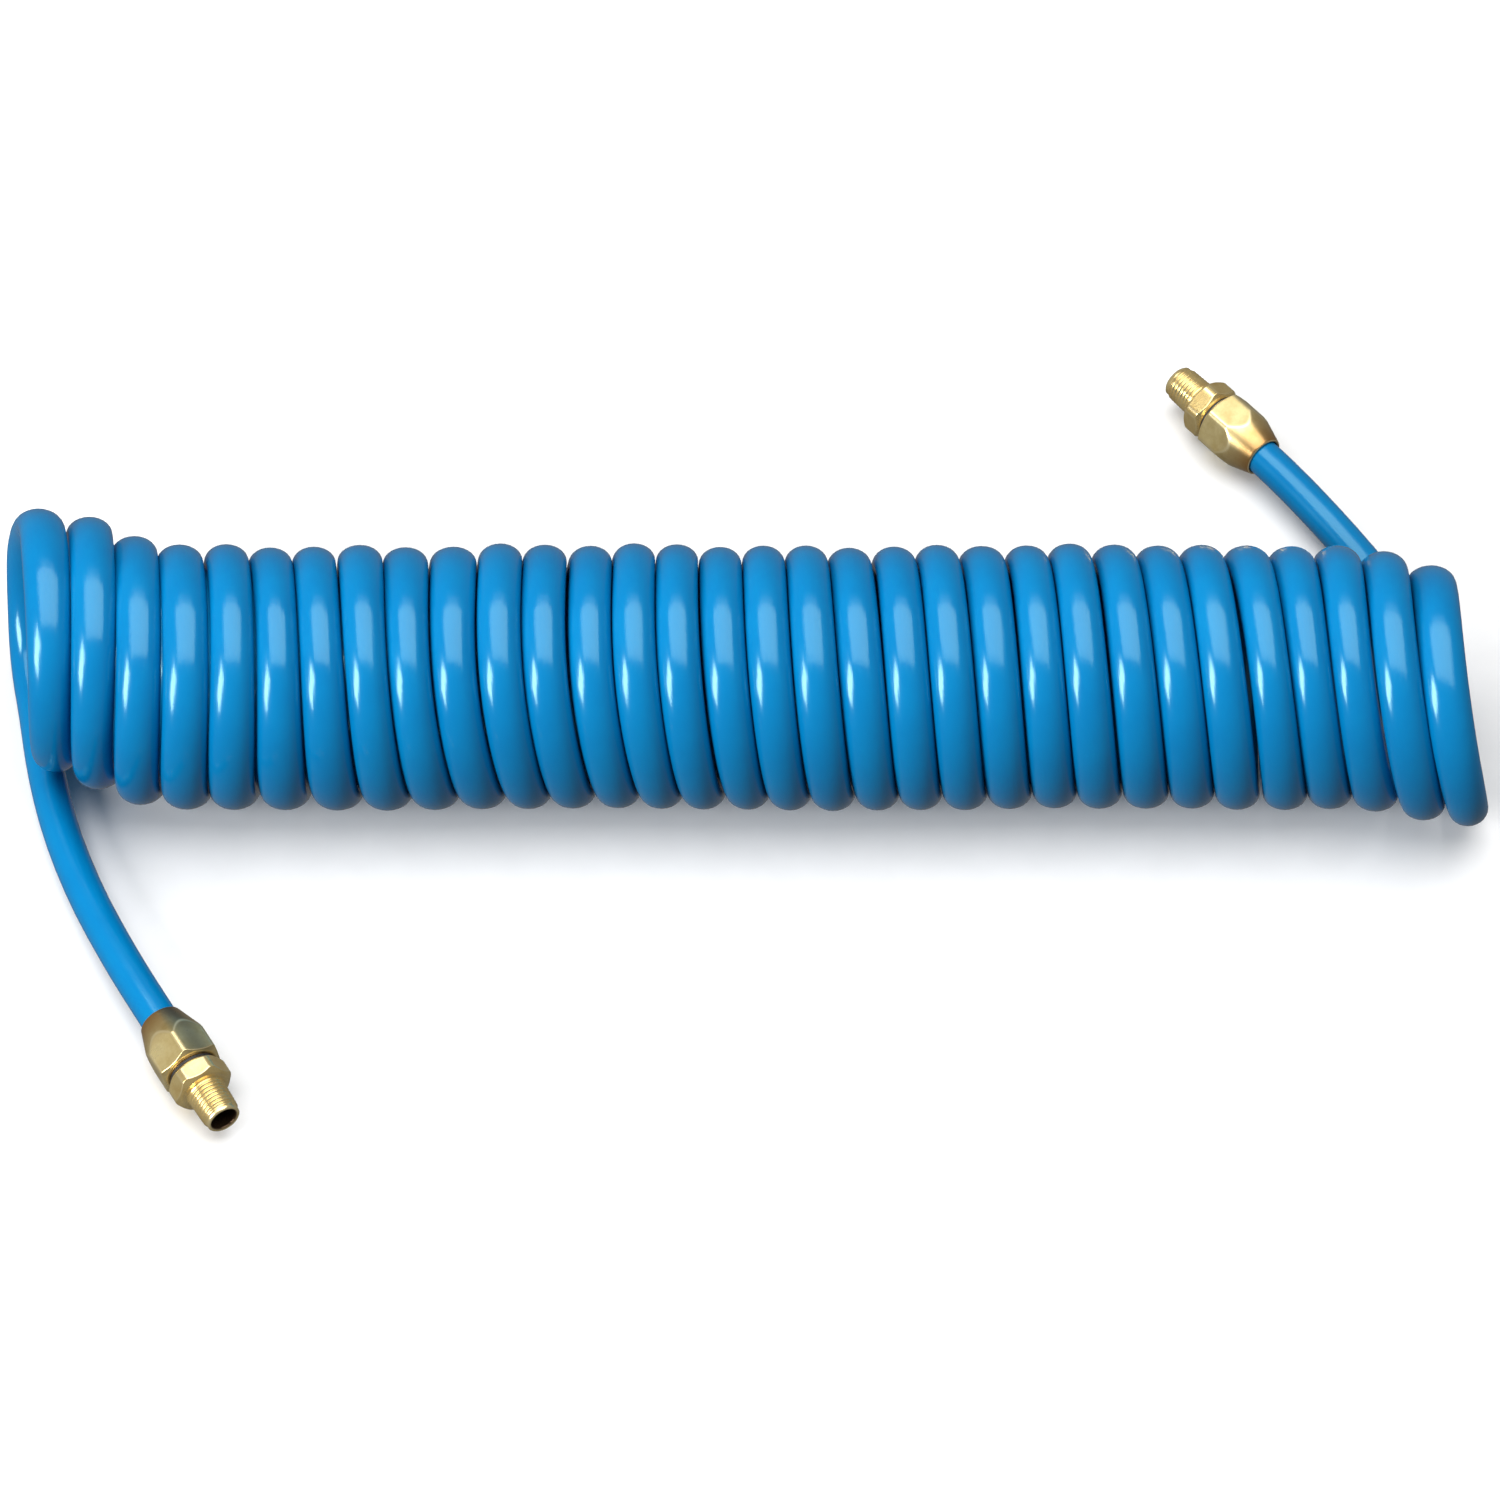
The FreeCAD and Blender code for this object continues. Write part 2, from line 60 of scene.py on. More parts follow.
ENDS = ("front", "rear")

# ---------------------------------------------------------------- places taken from the frame


def joint_named(name):
    return next(j for j in frame["joints"] if j["name"] == name)


# A swivel joint's point is this far from the mouth of its nut, along the fitting.
SWIVEL_FROM_MOUTH = 19.0 * MM


def fitting_axis(end):
    """The mouth of the nut and the direction from there to the tip."""
    joint = joint_named(f"{end}_swivel")
    along = Vector(joint["axis"]).normalized()
    return Vector(joint["pos_m"]) - along * SWIVEL_FROM_MOUTH, along


coil_low, coil_high = (Vector(corner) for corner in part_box("coil"))
COIL_AXIS_Y = (coil_low.y + coil_high.y) / 2
COIL_AXIS_Z = (coil_low.z + coil_high.z) / 2
COIL_OUTER_RADIUS = (coil_high.z - coil_low.z) / 2

# ---------------------------------------------------------------- camera

CAMERA_ELEVATION = math.radians(52.0)
CAMERA_DISTANCE = 3.0
CAMERA_LENS_MM = 212.6
CAMERA_REACH = 200.0
CAMERA_SIDE = 1.4 * MM
SENSOR_MM = 36.0
COIL_ABOVE_PICTURE_CENTRE = 24.7 * MM


def make_camera():
    """A long lens, high in front of the coil, which lies a little above the picture's centre."""
    forward = Vector((0, math.cos(CAMERA_ELEVATION), -math.sin(CAMERA_ELEVATION)))
    up = Vector((0, math.sin(CAMERA_ELEVATION), math.cos(CAMERA_ELEVATION)))
    target = Vector((CAMERA_SIDE, COIL_AXIS_Y, COIL_AXIS_Z)) - up * COIL_ABOVE_PICTURE_CENTRE
    data = bpy.data.cameras.new("camera")
    data.sensor_width = SENSOR_MM
    data.lens = CAMERA_LENS_MM
    data.clip_end = CAMERA_REACH
    camera = bpy.data.objects.new("camera", data)
    camera.location = target - forward * CAMERA_DISTANCE
    camera.rotation_mode = "QUATERNION"
    camera.rotation_quaternion = forward.to_track_quat("-Z", "Y")
    bpy.context.collection.objects.link(camera)
    bpy.context.scene.camera = camera


make_camera()

# ---------------------------------------------------------------- the hose's centre line

HOSE_OD = 12.7 * MM
HOSE_BORE = 9.5 * MM
HOSE_RADIUS = HOSE_OD / 2
TURNS = 32
POINTS_PER_TURN = 20
# Winding flattens the hose: in the coil it is wider along the coil and thinner across it.
OVAL_WIDE = 8.0 * MM
OVAL_NARROW = 6.8 * MM
OVAL_THIN = 5.6 * MM
SPACE_BETWEEN_TURNS = 0.25 * MM
TURN_RADIUS = COIL_OUTER_RADIUS - OVAL_THIN

# From the hose's end inside each fitting to the bottom of the coil: the tails' own route.
FRONT_ROUTE = [
    (-0.1883, -0.1324, 0.0116),
    (-0.1979, -0.1154, 0.0116),
    (-0.2091, -0.0945, 0.0104),
    (-0.2227, -0.0650, 0.0074),
    (-0.2331, -0.0360, 0.00635),
    (-0.2393, -0.0100, 0.00635),
    (-0.2428, 0.0125, 0.00635),
]
REAR_ROUTE = [
    (0.1728, 0.1349, 0.0116),
    (0.1852, 0.1199, 0.0116),
    (0.2005, 0.1000, 0.0100),
    (0.2165, 0.0780, 0.0072),
    (0.2315, 0.0510, 0.00635),
    (0.2406, 0.0205, 0.00635),
    (0.2442, -0.0105, 0.00635),
]


def eased(share):
    """0 to 1, starting and ending level."""
    return share * share * (3 - 2 * share)


def smooth(value, low, high):
    """0 below low, 1 above high, with level ends."""
    return eased(min(max((value - low) / (high - low), 0.0), 1.0))


def between(value, rise, fall):
    """0, rising smoothly to 1 over the first range and falling to 0 again over the second."""
    return smooth(value, *rise) * (1 - smooth(value, *fall))


def stepped(value, start, steps):
    """start, plus a smooth step for each (height, low, high)."""
    return start + sum(height * smooth(value, low, high) for height, low, high in steps)


def rippled(value, ripples):
    """A sum of sine waves, one for each (height, rate, phase)."""
    return sum(height * math.sin(rate * value + phase) for height, rate, phase in ripples)


FIRST_STRAND_X = -237.2 * MM  # middle of the first front strand
PITCH = 15.34 * MM
FACING_CAMERA = 218 / 360  # share of a turn, from its bottom, at which a strand faces the camera
FRONT_OF_TURN = math.tau * FACING_CAMERA
TOP_OF_TURN = math.radians(128)  # where a turn meets its silhouette's upper edge

# The turns as they lie in the photo. Heights are in millimetres, places are counted in turns.
# Waves in the spacing: half a wave along the coil, a whole one, ...; and small ripples.
SPACING_WAVES = (2.47, 2.55, -0.64, -0.75, -0.52)
SPACING_RIPPLES = ((0.16, 2.1, 0.4), (0.12, 3.7, 1.9))
# How far the strands lean, and how far they are bent where they face the camera.
LEAN_START, LEAN_STEPS = -3.2, ((-2.6, 0, 1), (7.8, 3.2, 7.5), (3.6, 21, 28))
BEND_START, BEND_STEPS = -3.4, ((7.1, 3.5, 10), (-3.2, 12, 20), (3.8, 26.5, 30))
# The first and the last quarter of a turn swing over to their tails, and between them the first
# turn's bottom is pushed out, clear of its neighbour.
END_QUARTER = 0.25
FIRST_QUARTER_SWING, LAST_QUARTER_SWING = 7.0, 3.4
FIRST_TURN_ASIDE, FIRST_TURN_RISE, FIRST_TURN_FALL = 4.4, (-0.08, 0.10), (0.22, 0.42)
# Behind, some turns lie across the gaps between the front ones.
BEHIND_ASIDE, BEHIND_RISE, BEHIND_FALL = 2.6, (6.5, 9), (12.5, 15)
# Turns that meet a tail on the ground are moved away from it, and the nearest lie on top of it.
FRONT_ASIDE, FRONT_ASIDE_RISE, FRONT_ASIDE_FALL = 4.7, (0.4, 0.8), (1.2, 4.5)
REAR_ASIDE, REAR_ASIDE_RISE, REAR_ASIDE_FALL = 4.6, (28.2, 30.9), (31.3, 31.6)
FRONT_LIFT, FRONT_LIFT_FALL = 7.6, (1.3, 1.7)
REAR_LIFT, REAR_LIFT_RISE = 6.0, (30.3, 30.7)
REAR_TAIL_BEHIND_BOTTOM = 0.06
# Both ends of the coil curve away sideways, and its middle sways a little.
FRONT_SWEEP, FRONT_SWEEP_START, FRONT_SWEEP_TURNS = 16.0, 0.3, 3.3
REAR_SWEEP, REAR_SWEEP_RANGE = -7.4, (29.3, 31.9)
SWAY, SWAY_RISE, SWAY_FALL = ((0.5, 0.55, 1.0),), (3, 8), (26, 29)
# The turns differ by less than half a millimetre in radius, and the last is tighter.
RADIUS_RIPPLES = ((0.22, 1.9, 0.0), (0.18, 4.3, 0.7))
RIPPLES_RISE, RIPPLES_FALL = (0.5, 1.5), (30.5, 31.5)
RADIUS_START, RADIUS_STEPS = -0.25, ((-1.0, 30.6, 31.4),)
# The hose is oval from soon after the front tail to just before the rear one.
OVAL_RISE, OVAL_FALL = (-0.1, 0.5), (TURNS - 0.4, TURNS + 0.1)


def near_bottom(turns):
    """1 at the bottom of a turn, and almost 0 a quarter of a turn away."""
    return (0.5 + 0.5 * math.cos(math.tau * turns)) ** 8


def front_push(turns):
    """1 where the bottom of the second turn lies against the front tail, less in the next ones."""
    return near_bottom(turns) * between(turns, FRONT_ASIDE_RISE, FRONT_ASIDE_FALL)


def rear_push(turns):
    """The same for the turns before the rear tail, which passes them a little farther back."""
    near = near_bottom(turns - REAR_TAIL_BEHIND_BOTTOM)
    return near * between(turns, REAR_ASIDE_RISE, REAR_ASIDE_FALL)


def turn_axial(turns):
    """x of the centre line. The turns are a little closer in places, and lean: the first ones to
    the front end, the last ones to the rear end."""
    strand = turns - FACING_CAMERA
    angle = math.tau * turns
    along = strand / (TURNS - 1)
    spacing = rippled(strand, SPACING_RIPPLES) + sum(
        height * math.sin(math.pi * number * along)
        for number, height in enumerate(SPACING_WAVES, start=1)
    )
    facing = math.cos(angle - FRONT_OF_TURN)
    shear = -stepped(strand, LEAN_START, LEAN_STEPS) / 2 * math.cos(angle - TOP_OF_TURN)
    shear -= stepped(strand, BEND_START, BEND_STEPS) * facing * (1 + facing) / 2
    first = FIRST_QUARTER_SWING * (1 - min(turns / END_QUARTER, 1.0)) ** 2
    last = LAST_QUARTER_SWING * max((turns - TURNS) / END_QUARTER + 1, 0.0) ** 2
    aside = FRONT_ASIDE * front_push(turns) - REAR_ASIDE * rear_push(turns)
    aside -= FIRST_TURN_ASIDE * between(turns, FIRST_TURN_RISE, FIRST_TURN_FALL)
    aside -= BEHIND_ASIDE * facing * (facing - 1) / 2 * between(turns, BEHIND_RISE, BEHIND_FALL)
    return FIRST_STRAND_X + PITCH * strand + (spacing + shear + first - last + aside) * MM


def turn_sideways(turns):
    """How far the turns' middle lies from the coil's straight axis."""
    swept = min(max((turns - FRONT_SWEEP_START) / FRONT_SWEEP_TURNS, 0.0), 1.0)
    front = FRONT_SWEEP * (1 + math.cos(math.pi * swept)) / 2
    rear = REAR_SWEEP * smooth(turns, *REAR_SWEEP_RANGE)
    return (front + rear + rippled(turns, SWAY) * between(turns, SWAY_RISE, SWAY_FALL)) * MM


def turn_radius(turns):
    ripples = rippled(turns, RADIUS_RIPPLES) * between(turns, RIPPLES_RISE, RIPPLES_FALL)
    return TURN_RADIUS + (ripples + stepped(turns, RADIUS_START, RADIUS_STEPS)) * MM


def turn_lift(turns):
    """How far the turns that cross a tail are raised off the ground."""
    front = FRONT_LIFT * front_push(turns) * (1 - smooth(turns, *FRONT_LIFT_FALL))
    rear = REAR_LIFT * rear_push(turns) * smooth(turns, *REAR_LIFT_RISE)
    return (front + rear) * MM


def flattening(turns):
    """0 where the hose is round, at its tails, and 1 in the coil."""
    return between(turns, OVAL_RISE, OVAL_FALL)


def half_thickness(turns):
    return HOSE_RADIUS + (OVAL_THIN - HOSE_RADIUS) * flattening(turns)


def half_width(turns):
    """The turns nearly touch: each is as wide as its neighbours let it be, within limits."""
    here = turn_axial(turns)
    spaces = [
        abs(turn_axial(turns + other) - here) for other in (-1, 1) if 0 <= turns + other <= TURNS
    ]
    oval = min(max(min(spaces, default=0) / 2 - SPACE_BETWEEN_TURNS / 2, OVAL_NARROW), OVAL_WIDE)
    return HOSE_RADIUS + (oval - HOSE_RADIUS) * flattening(turns)


def coil_points():
    """Control points of every turn, from bottom to bottom: up the back and down the front."""
    step = math.tau / POINTS_PER_TURN
    widen = 1 / math.cos(step / 2)  # the spline runs this much inside its control points
    points = []
    for index in range(1, TURNS * POINTS_PER_TURN):
        turns = index / POINTS_PER_TURN
        angle = math.tau * turns
        radius = turn_radius(turns)
        middle_z = half_thickness(turns) + radius + turn_lift(turns)  # on the ground
        points.append((
            turn_axial(turns),
            COIL_AXIS_Y + turn_sideways(turns) + radius * widen * math.sin(angle),
            middle_z - radius * widen * math.cos(angle),
        ))
    return points


def spline_line(points, steps):
    """Points along the smooth NURBS spline that has these control points."""
    curve = bpy.data.curves.new("route", "CURVE")
    curve.dimensions = "3D"
    curve.resolution_u = steps
    spline = curve.splines.new("NURBS")
    spline.points.add(len(points) - 1)
    for point, place in zip(spline.points, points):
        point.co = (*place, 1.0)
    spline.order_u = 3
    spline.use_endpoint_u = True
    carrier = bpy.data.objects.new("route", curve)
    bpy.context.collection.objects.link(carrier)
    mesh = bpy.data.meshes.new_from_object(carrier)
    line = np.array([vertex.co[:] for vertex in mesh.vertices])
    bpy.data.objects.remove(carrier)
    bpy.data.meshes.remove(mesh)
    bpy.data.curves.remove(curve)
    return line


STEPS_BETWEEN_POINTS = 3
hose_line = spline_line(FRONT_ROUTE + coil_points() + REAR_ROUTE[::-1], STEPS_BETWEEN_POINTS)

# ---------------------------------------------------------------- mesh helpers


def unit(vectors):
    return vectors / np.linalg.norm(vectors, axis=-1, keepdims=True)


def grid_mesh(name, rings, closed_along, material):
    """A mesh from rings of points; each ring is closed, and the rings may close on themselves."""
    count, sides = rings.shape[:2]
    verts = rings.reshape(-1, 3)
    rows = count if closed_along else count - 1
    a = np.arange(rows)[:, None] * sides + np.arange(sides)[None, :]
    b = np.arange(rows)[:, None] * sides + (np.arange(sides)[None, :] + 1) % sides
    c = (b + sides) % (count * sides)
    d = (a + sides) % (count * sides)
    faces = np.stack([a, b, c, d], axis=-1).reshape(-1, 4)
    mesh = bpy.data.meshes.new(name)
    mesh.from_pydata(verts.tolist(), [], faces.tolist())
    mesh.polygons.foreach_set("use_smooth", np.ones(len(mesh.polygons), bool))
    mesh.materials.append(material)
    mesh.update()
    piece = bpy.data.objects.new(name, mesh)
    bpy.context.collection.objects.link(piece)
    return piece


def set_attribute(piece, name, values):
    attribute = piece.data.attributes.new(name, "FLOAT", "POINT")
    attribute.data.foreach_set("value", np.asarray(values, np.float32).ravel())


# ---------------------------------------------------------------- materials


def new_material(name):
    """A node material and a maker of its nodes; the maker links whatever inputs it is given."""
    material = bpy.data.materials.new(name)
    material.use_nodes = True
    tree = material.node_tree
    tree.nodes.clear()

    def node(kind, settings=(), **inputs):
        made = tree.nodes.new("ShaderNode" + kind)
        for key, value in dict(settings).items():
            setattr(made, key, value)
        for key, value in inputs.items():
            socket = made.inputs[key.replace("_", " ")]
            if isinstance(value, bpy.types.NodeSocket):
                tree.links.new(value, socket)
            else:
                socket.default_value = value
        return made

    return material, node


def ramp(node, factor, stops):
    """A colour ramp through (position, colour) stops."""
    made = node("ValToRGB", Fac=factor)
    elements = made.color_ramp.elements
    while len(elements) < len(stops):
        elements.new(0.5)
    for element, (position, colour) in zip(elements, stops):
        element.position = position
        element.color = (*colour, 1.0)
    return made.outputs["Color"]


def level(node, factor, low, high):
    """A number from low to high, as the factor goes from 0 to 1."""
    made = node("MapRange", Value=factor)
    made.inputs["To Min"].default_value = low
    made.inputs["To Max"].default_value = high
    return made.outputs["Result"]


def noise(node, place, scale, detail, roughness=0.5):
    made = node("TexNoise", Vector=place, Scale=scale, Detail=detail, Roughness=roughness)
    return made.outputs["Fac"]


def painted(node, name, output="Fac"):
    """What the mesh's attribute of this name says."""
    return node("Attribute", {"attribute_name": name}).outputs[output]


def scaled(node, place, factors):
    made = node("VectorMath", {"operation": "MULTIPLY"}, Vector=place)
    made.inputs[1].default_value = factors
    return made.outputs["Vector"]


def bumps(node, *layers):
    """Bump maps on top of each other, each given as (height, strength, depth in metres)."""
    below = {}
    for height, strength, depth in layers:
        made = node("Bump", Height=height, Strength=strength, Distance=depth, **below)
        below = {"Normal": made.outputs["Normal"]}
    return made.outputs["Normal"]


def hose_material():
    """Glossy extruded nylon: bright blue, slightly deeper in patches, with faint drawn lines."""
    material, node = new_material("hose_nylon")
    place = node("TexCoord").outputs["Object"]
    cloudy = noise(node, place, 38.0, 3.0, 0.55)
    colour = ramp(node, cloudy, [(0.3, (0.0005, 0.178, 0.43)), (0.72, (0.0005, 0.198, 0.46))])
    wall = node("CombineXYZ", X=painted(node, "hose_length"), Y=painted(node, "hose_round"))
    drawn = noise(node, scaled(node, wall.outputs["Vector"], (1.6, 34.0, 1.0)), 1.0, 4.0)
    waves = noise(node, place, 120.0, 1.5)
    fine = noise(node, place, 900.0, 2.0)
    normal = bumps(node, (drawn, 0.10, 0.0003), (waves, 0.10, 0.0008), (fine, 0.05, 0.0001))
    rough = level(node, cloudy, 0.13, 0.24)
    shader = node("BsdfPrincipled", Base_Color=colour, Roughness=rough, Normal=normal)
    shader.inputs["IOR"].default_value = 1.53
    shader.inputs["Specular IOR Level"].default_value = 0.55
    shader.inputs["Specular Tint"].default_value = (0.6, 1.0, 0.88, 1.0)
    shader.inputs["Subsurface Weight"].default_value = 0.12
    shader.inputs["Subsurface Radius"].default_value = (0.15, 0.6, 1.0)
    shader.inputs["Subsurface Scale"].default_value = 0.003
    node("OutputMaterial", Surface=shader.outputs[0])
    return material


BROWN_TARNISH = (0.36, 0.17, 0.045)
# Painted reflection: one nut flat is painted near black, standing in for the dark it reflects.
FLAT_PAINTED_REFLECTION = (0.10, 0.11, 0.09)
RUBBED_EDGE = (1.0, 0.84, 0.48)
# Painted shade: bores and groove roots are painted dark brown, standing in for the shade inside
# them.
BORE_PAINTED_SHADE = (0.15, 0.09, 0.05)
LATHE_LINES = (9000.0, 0.4, 0.4)


def brass_material(name, light, dark, roughness):
    """Turned brass: fine lathe lines round the axis, stains, edges rubbed bright, painted shade in
    the bores and a painted dark reflection on one flat.
    """
    material, node = new_material(name)
    place = node("TexCoord").outputs["Object"]
    stain_and_dark_flat = noise(node, place, 150.0, 6.0, 0.6)
    colour = ramp(node, stain_and_dark_flat, [(0.32, dark), (0.62, light)])
    for attribute, over in (
        ("tarnish", BROWN_TARNISH),
        ("dull", FLAT_PAINTED_REFLECTION),
        ("edge", RUBBED_EDGE),
        ("inside", BORE_PAINTED_SHADE),
    ):
        mix = node("Mix", {"data_type": "RGBA"}, Factor=painted(node, attribute), A=colour)
        mix.inputs["B"].default_value = (*over, 1.0)
        colour = mix.outputs["Result"]
    lines = noise(node, scaled(node, painted(node, "lathe", "Vector"), LATHE_LINES), 1.0, 3.0)
    nicks = noise(node, place, 420.0, 4.0)
    normal = bumps(node, (lines, 0.25, 0.00006), (nicks, 0.05, 0.0001))
    rough = level(node, stain_and_dark_flat, roughness + 0.08, roughness - 0.05)
    shader = node("BsdfPrincipled", Base_Color=colour, Roughness=rough, Normal=normal)
    shader.inputs["Metallic"].default_value = 0.82
    node("OutputMaterial", Surface=shader.outputs[0])
    return material


def plain_material(name, dark, light, roughness, metallic, grain):
    """Rubber, plastic or wire: two close colours in a fine grain, with a matching bump."""
    material, node = new_material(name)
    place = node("TexCoord").outputs["Object"]
    grains = noise(node, place, grain, 5.0)
    colour = ramp(node, grains, [(0.35, dark), (0.65, light)])
    normal = bumps(node, (grains, 0.2, 0.0001))
    rough = level(node, grains, roughness - 0.06, roughness + 0.06)
    shader = node("BsdfPrincipled", Base_Color=colour, Roughness=rough, Normal=normal)
    shader.inputs["Metallic"].default_value = metallic
    node("OutputMaterial", Surface=shader.outputs[0])
    return material


HOSE = hose_material()
NUT_BRASS = brass_material("nut_brass", (0.90, 0.74, 0.36), (0.66, 0.50, 0.20), 0.28)
CONNECTOR_BRASS = brass_material("connector_brass", (0.94, 0.73, 0.32), (0.76, 0.53, 0.19), 0.22)
INNER_BRASS = plain_material(
    "inner_brass", (0.5, 0.34, 0.13), (0.66, 0.48, 0.22), roughness=0.35, metallic=1.0, grain=300.0
)
RUBBER = plain_material(
    "seal_rubber", (0.012,) * 3, (0.03,) * 3, roughness=0.6, metallic=0.0, grain=900.0
)
ACETAL = plain_material(
    "washer_acetal",
    (0.015, 0.015, 0.016),
    (0.03, 0.03, 0.032),
    roughness=0.4,
    metallic=0.0,
    grain=700.0,
)
WIRE = plain_material(
    "spring_wire", (0.42, 0.42, 0.43), (0.6, 0.6, 0.61), roughness=0.28, metallic=1.0, grain=800.0
)

# ---------------------------------------------------------------- the hose

HOSE_SIDES = 28
CAP_DEPTH = 6.0 * MM


def hose_rings(line):
    """Rings of the outer wall, square to the line, with the length up to there and the way on."""
    ahead = unit(np.gradient(line, axis=0))
    x_axis = np.array([1.0, 0.0, 0.0])
    side = unit(x_axis - (ahead @ x_axis)[:, None] * ahead)
    lift = np.cross(ahead, side)
    lengths = np.concatenate([[0], np.cumsum(np.linalg.norm(np.diff(line, axis=0), axis=1))])
    first_turn_ring = (len(FRONT_ROUTE) - 1) * STEPS_BETWEEN_POINTS
    turns = (np.arange(len(line)) - first_turn_ring) / (POINTS_PER_TURN * STEPS_BETWEEN_POINTS)
    wide = np.array([half_width(turn) for turn in turns])
    thin = np.array([half_thickness(turn) for turn in turns])
    angle = np.arange(HOSE_SIDES) / HOSE_SIDES * math.tau
    rings = (
        line[:, None, :]
        + (wide[:, None] * np.cos(angle))[:, :, None] * side[:, None, :]
        + (thin[:, None] * np.sin(angle))[:, :, None] * lift[:, None, :]
    )
    return rings, lengths, ahead


def cut_end(ring, middle, outward):
    """The sawn face of the hose and a short way into its bore, from the outer ring inwards."""
    bore = middle + (ring - middle) * (HOSE_BORE / HOSE_OD)
    bottom = middle - outward * CAP_DEPTH
    return [bore, bore - outward * CAP_DEPTH, np.repeat([bottom], HOSE_SIDES, 0)]


def make_hose():
    rings, lengths, ahead = hose_rings(hose_line)
    front = cut_end(rings[0], hose_line[0], -ahead[0])
    rear = cut_end(rings[-1], hose_line[-1], ahead[-1])
    every = np.concatenate([front[::-1], rings, rear])
    piece = grid_mesh("hose", every, False, HOSE)
    ring_length = np.concatenate([[lengths[0]] * len(front), lengths, [lengths[-1]] * len(rear)])
    set_attribute(piece, "hose_length", np.repeat(ring_length, HOSE_SIDES))
    folded = 1 - np.abs(2 * np.arange(HOSE_SIDES) / HOSE_SIDES - 1)  # no jump where it closes
    set_attribute(piece, "hose_round", np.tile(folded, len(every)))
    return piece, ring_length


hose, hose_ring_length = make_hose()

# ---------------------------------------------------------------- turned brass

COLUMNS = 192
ANGLES = np.arange(COLUMNS) / COLUMNS * math.tau
HEX_SOFTNESS = 90.0  # the higher, the sharper the edges between flats and cones
EDGE_WIDTH = 0.28 * MM
EDGE_BRIGHTNESS = 0.8
TARNISH_AT_MOUTH = 0.9
TARNISH_LENGTH = 13.0 * MM
INSIDE_RADIUS = 4.9 * MM  # what is turned smaller than this is in the dark of a bore or groove, and gets painted shade
DARKENED_FLAT = math.radians(330)
FLATS = np.radians(np.arange(30, 390, 60))


def hexagon_radius(across_flats):
    """Radius of the soft-cornered hexagon at every column; corners point up and down."""
    pull = np.clip(np.cos(ANGLES[:, None] - FLATS[None, :]), 0, 1) / (across_flats / 2)
    return (pull**HEX_SOFTNESS).sum(axis=1) ** (-1 / HEX_SOFTNESS)


def softer_of(first, second):
    """The smaller of two radii, rounded where they meet."""
    return (first**-HEX_SOFTNESS + second**-HEX_SOFTNESS) ** (-1 / HEX_SOFTNESS)


def closeness(first, second):
    """1 where two surfaces meet in an edge, falling to 0 where they are an edge's width apart."""
    return np.clip(1 - np.abs(first - second) / EDGE_WIDTH, 0, 1)


def lathe_piece(name, stations, end, roll, material, stain_and_dark_flat=0.0):
    """A closed turned piece. Each station is (x, radii round it, edge share round it). The last
    argument says how dark one of its flats is painted: a painted reflection of something dark."""
    mouth, along = fitting_axis(end)
    up = Vector((0, 0, 1))
    across = up.cross(along).normalized()
    turn = Matrix.Rotation(roll, 3, along)
    across = turn @ across
    lift = turn @ up
    x = np.array([s[0] for s in stations])
    radii = np.array([np.broadcast_to(s[1], COLUMNS) for s in stations])
    edges = np.array([np.broadcast_to(s[2], COLUMNS) for s in stations])
    rings = (
        np.array(mouth)[None, None, :]
        + x[:, None, None] * np.array(along)[None, None, :]
        + (radii * np.cos(ANGLES))[:, :, None] * np.array(lift)[None, None, :]
        - (radii * np.sin(ANGLES))[:, :, None] * np.array(across)[None, None, :]
    )
    piece = grid_mesh(name, rings, True, material)
    set_attribute(piece, "edge", edges)
    near_hose = np.clip(1 - x / TARNISH_LENGTH, 0, 1)[:, None]
    set_attribute(piece, "tarnish", TARNISH_AT_MOUTH * near_hose * np.ones(COLUMNS))
    # painted shade in bores and groove roots: every ring turned smaller than INSIDE_RADIUS
    set_attribute(piece, "inside", radii < INSIDE_RADIUS)
    # painted reflection: one flat darkened by the given share
    on_flat = np.clip(6 * np.cos(ANGLES - DARKENED_FLAT) - 5, 0, 1)  # 34 degrees to either side
    set_attribute(piece, "dull", stain_and_dark_flat * on_flat * np.ones((len(x), 1)))
    lathe = piece.data.attributes.new("lathe", "FLOAT_VECTOR", "POINT")
    values = np.zeros((len(stations), COLUMNS, 3), np.float32)
    values[:, :, 0] = x[:, None] + radii
    values[:, :, 1] = np.cos(ANGLES)[None, :]
    values[:, :, 2] = np.sin(ANGLES)[None, :]
    lathe.data.foreach_set("vector", values.ravel())
    return piece


# The nut's and the connector's own sizes, measured along the fitting from the nut's mouth.
NUT_HEX = 20.6 * MM
NUT_LENGTH = 23.0 * MM
NUT_MOUTH_RADIUS = 7.4 * MM
NUT_CORNER_RADIUS = 11.6 * MM
NUT_CONE_LENGTH = 13.0 * MM
NUT_FRONT_RADIUS = 9.8 * MM
NUT_CHAMFER = 1.2 * MM
NUT_BORE_RADIUS = 6.55 * MM
NUT_SEAT = 3.4 * MM  # the ferrule's cone begins here, a step out from the bore
NUT_SEAT_STEP = 0.4 * MM
NUT_THREAD_START = 9.4 * MM
NUT_THREAD_MIDDLE = 12 * MM
NUT_THREAD_RADIUS = 8.3 * MM
EDGE_BREAK = 0.3 * MM


def nut_outside(x):
    """Radii of the nut's outside at x, and how near each column is to an edge."""
    hexagon = hexagon_radius(NUT_HEX)
    cone = NUT_MOUTH_RADIUS + (NUT_CORNER_RADIUS - NUT_MOUTH_RADIUS) * x / NUT_CONE_LENGTH
    chamfer_slope = (NUT_CORNER_RADIUS - NUT_FRONT_RADIUS) / NUT_CHAMFER
    chamfer = NUT_FRONT_RADIUS + chamfer_slope * (NUT_LENGTH - x)
    turned = min(cone, NUT_CORNER_RADIUS, chamfer)
    return softer_of(hexagon, turned), EDGE_BRIGHTNESS * closeness(hexagon, turned)


